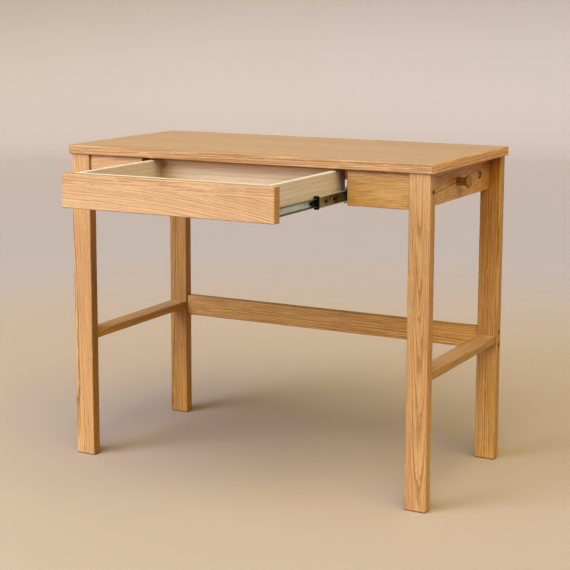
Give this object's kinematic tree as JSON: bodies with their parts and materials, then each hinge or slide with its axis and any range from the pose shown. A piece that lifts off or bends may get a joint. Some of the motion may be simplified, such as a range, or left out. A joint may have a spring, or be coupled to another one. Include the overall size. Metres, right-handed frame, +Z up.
{
  "type": "writing desk",
  "caption": "Rectangular oak writing desk on flat board legs, with a drawer pulled out on telescopic slides and a hook peg on the side rail.",
  "frame": {"origin": "on the floor, at the middle of the bounding box of the desk with its drawer out as pictured", "axes": "+X to the sitter's right along the desk, +Y from the sitter to the wall, +Z up"},
  "size_m": [0.9, 0.75, 0.73],
  "materials": {
    "oak_upright": "satin lacquered solid oak, grain upright",
    "oak_wide": "satin lacquered solid oak, grain along X",
    "oak_deep": "satin lacquered solid oak, grain along Y",
    "oak_veneer": "satin lacquered oak veneer",
    "lipping_wide": "satin lacquered solid oak edge, grain along X",
    "lipping_deep": "satin lacquered solid oak edge, grain along Y",
    "oak_front": "satin lacquered oak drawer front",
    "oak_peg": "satin lacquered turned oak",
    "runner_wood": "plain planed wood",
    "beech_dowel": "plain turned beech",
    "drawer_wood_wide": "pale satin wood, grain along X",
    "drawer_wood_deep": "pale satin wood, grain along Y",
    "drawer_panel": "pale satin panel",
    "zinc_steel": "zinc plated sheet steel",
    "slide_middle_steel": "yellowed zinc plated sheet steel, rubbed pale at the edges",
    "ball_steel": "polished bearing steel",
    "bronze_metal": "dark bronze plated steel",
    "aged_brass": "aged brass plated steel",
    "black_plastic": "black moulded plastic"
  },
  "bodies": {
    "desk_frame": {"block_bolts": "bronze_metal", "block_inserts": "zinc_steel", "bracket_screws": "zinc_steel", "desk_top": "oak_veneer", "frame_dowels": "beech_dowel", "front_left_leg": "oak_upright", "front_right_leg": "oak_upright", "hook_peg": "oak_peg", "left_drawer_runner": "runner_wood", "left_front_block": "oak_wide", "left_low_stretcher": "oak_deep", "left_side_rail": "oak_deep", "left_slide_outer": "zinc_steel", "rail_barrel_nuts": "aged_brass", "rail_bolts": "bronze_metal", "rear_apron": "oak_wide", "rear_left_leg": "oak_upright", "rear_right_leg": "oak_upright", "rear_stretcher": "oak_wide", "right_drawer_runner": "runner_wood", "right_front_block": "oak_wide", "right_low_stretcher": "oak_deep", "right_side_rail": "oak_deep", "right_slide_outer": "zinc_steel", "slide_outer_screws": "zinc_steel", "stretcher_bolts": "bronze_metal", "stretcher_inserts": "zinc_steel", "top_brackets": "zinc_steel", "top_lipping_front": "lipping_wide", "top_lipping_left": "lipping_deep", "top_lipping_rear": "lipping_wide", "top_lipping_right": "lipping_deep"},
    "drawer": {"drawer_front": "oak_front", "drawer_box_front": "drawer_wood_wide", "drawer_back": "drawer_wood_wide", "drawer_left_side": "drawer_wood_deep", "drawer_right_side": "drawer_wood_deep", "drawer_bottom": "drawer_panel", "drawer_front_screws": "zinc_steel", "drawer_box_dowels": "beech_dowel", "left_slide_inner": "zinc_steel", "right_slide_inner": "zinc_steel", "slide_inner_screws": "zinc_steel", "release_lever_pins": "zinc_steel"},
    "left_middle": {"left_slide_middle": "slide_middle_steel", "left_slide_bumper": "black_plastic"},
    "left_outer_cage": {"left_outer_ball_cage": "zinc_steel", "left_outer_balls": "ball_steel"},
    "left_inner_cage": {"left_inner_ball_cage": "zinc_steel", "left_inner_balls": "ball_steel"},
    "left_lever": {"left_release_lever": "black_plastic"},
    "right_middle": {"right_slide_middle": "slide_middle_steel", "right_slide_bumper": "black_plastic"},
    "right_outer_cage": {"right_outer_ball_cage": "zinc_steel", "right_outer_balls": "ball_steel"},
    "right_inner_cage": {"right_inner_ball_cage": "zinc_steel", "right_inner_balls": "ball_steel"},
    "right_lever": {"right_release_lever": "black_plastic"}
  },
  "joints": [
    {"name": "drawer_slide", "type": "slide", "parent": "desk_frame", "child": "drawer", "axis": [0, -1, 0], "range_m": [-0.31, 0.008]},
    {"name": "left_middle_slide", "type": "slide", "parent": "desk_frame", "child": "left_middle", "axis": [0, -1, 0], "range_m": [-0.155, 0.004]},
    {"name": "left_outer_cage_slide", "type": "slide", "parent": "desk_frame", "child": "left_outer_cage", "axis": [0, -1, 0], "range_m": [-0.0775, 0.002]},
    {"name": "left_inner_cage_slide", "type": "slide", "parent": "desk_frame", "child": "left_inner_cage", "axis": [0, -1, 0], "range_m": [-0.2325, 0.006]},
    {"name": "left_lever_pivot", "type": "hinge", "parent": "drawer", "child": "left_lever", "pos_m": [-0.234, -0.167, 0.651], "axis": [1, 0, 0], "range_deg": [0, 6], "stiffness_Nm_per_rad": 0.05, "springref_deg": -5.73},
    {"name": "right_middle_slide", "type": "slide", "parent": "desk_frame", "child": "right_middle", "axis": [0, -1, 0], "range_m": [-0.155, 0.004]},
    {"name": "right_outer_cage_slide", "type": "slide", "parent": "desk_frame", "child": "right_outer_cage", "axis": [0, -1, 0], "range_m": [-0.0775, 0.002]},
    {"name": "right_inner_cage_slide", "type": "slide", "parent": "desk_frame", "child": "right_inner_cage", "axis": [0, -1, 0], "range_m": [-0.2325, 0.006]},
    {"name": "right_lever_pivot", "type": "hinge", "parent": "drawer", "child": "right_lever", "pos_m": [0.234, -0.167, 0.651], "axis": [1, 0, 0], "range_deg": [0, 6], "stiffness_Nm_per_rad": 0.05, "springref_deg": -5.73}
  ],
  "couplings": [
    {"joint": "left_middle_slide", "follows": "drawer_slide", "ratio": 0.5},
    {"joint": "left_outer_cage_slide", "follows": "drawer_slide", "ratio": 0.25},
    {"joint": "left_inner_cage_slide", "follows": "drawer_slide", "ratio": 0.75},
    {"joint": "right_middle_slide", "follows": "drawer_slide", "ratio": 0.5},
    {"joint": "right_outer_cage_slide", "follows": "drawer_slide", "ratio": 0.25},
    {"joint": "right_inner_cage_slide", "follows": "drawer_slide", "ratio": 0.75}
  ]
}
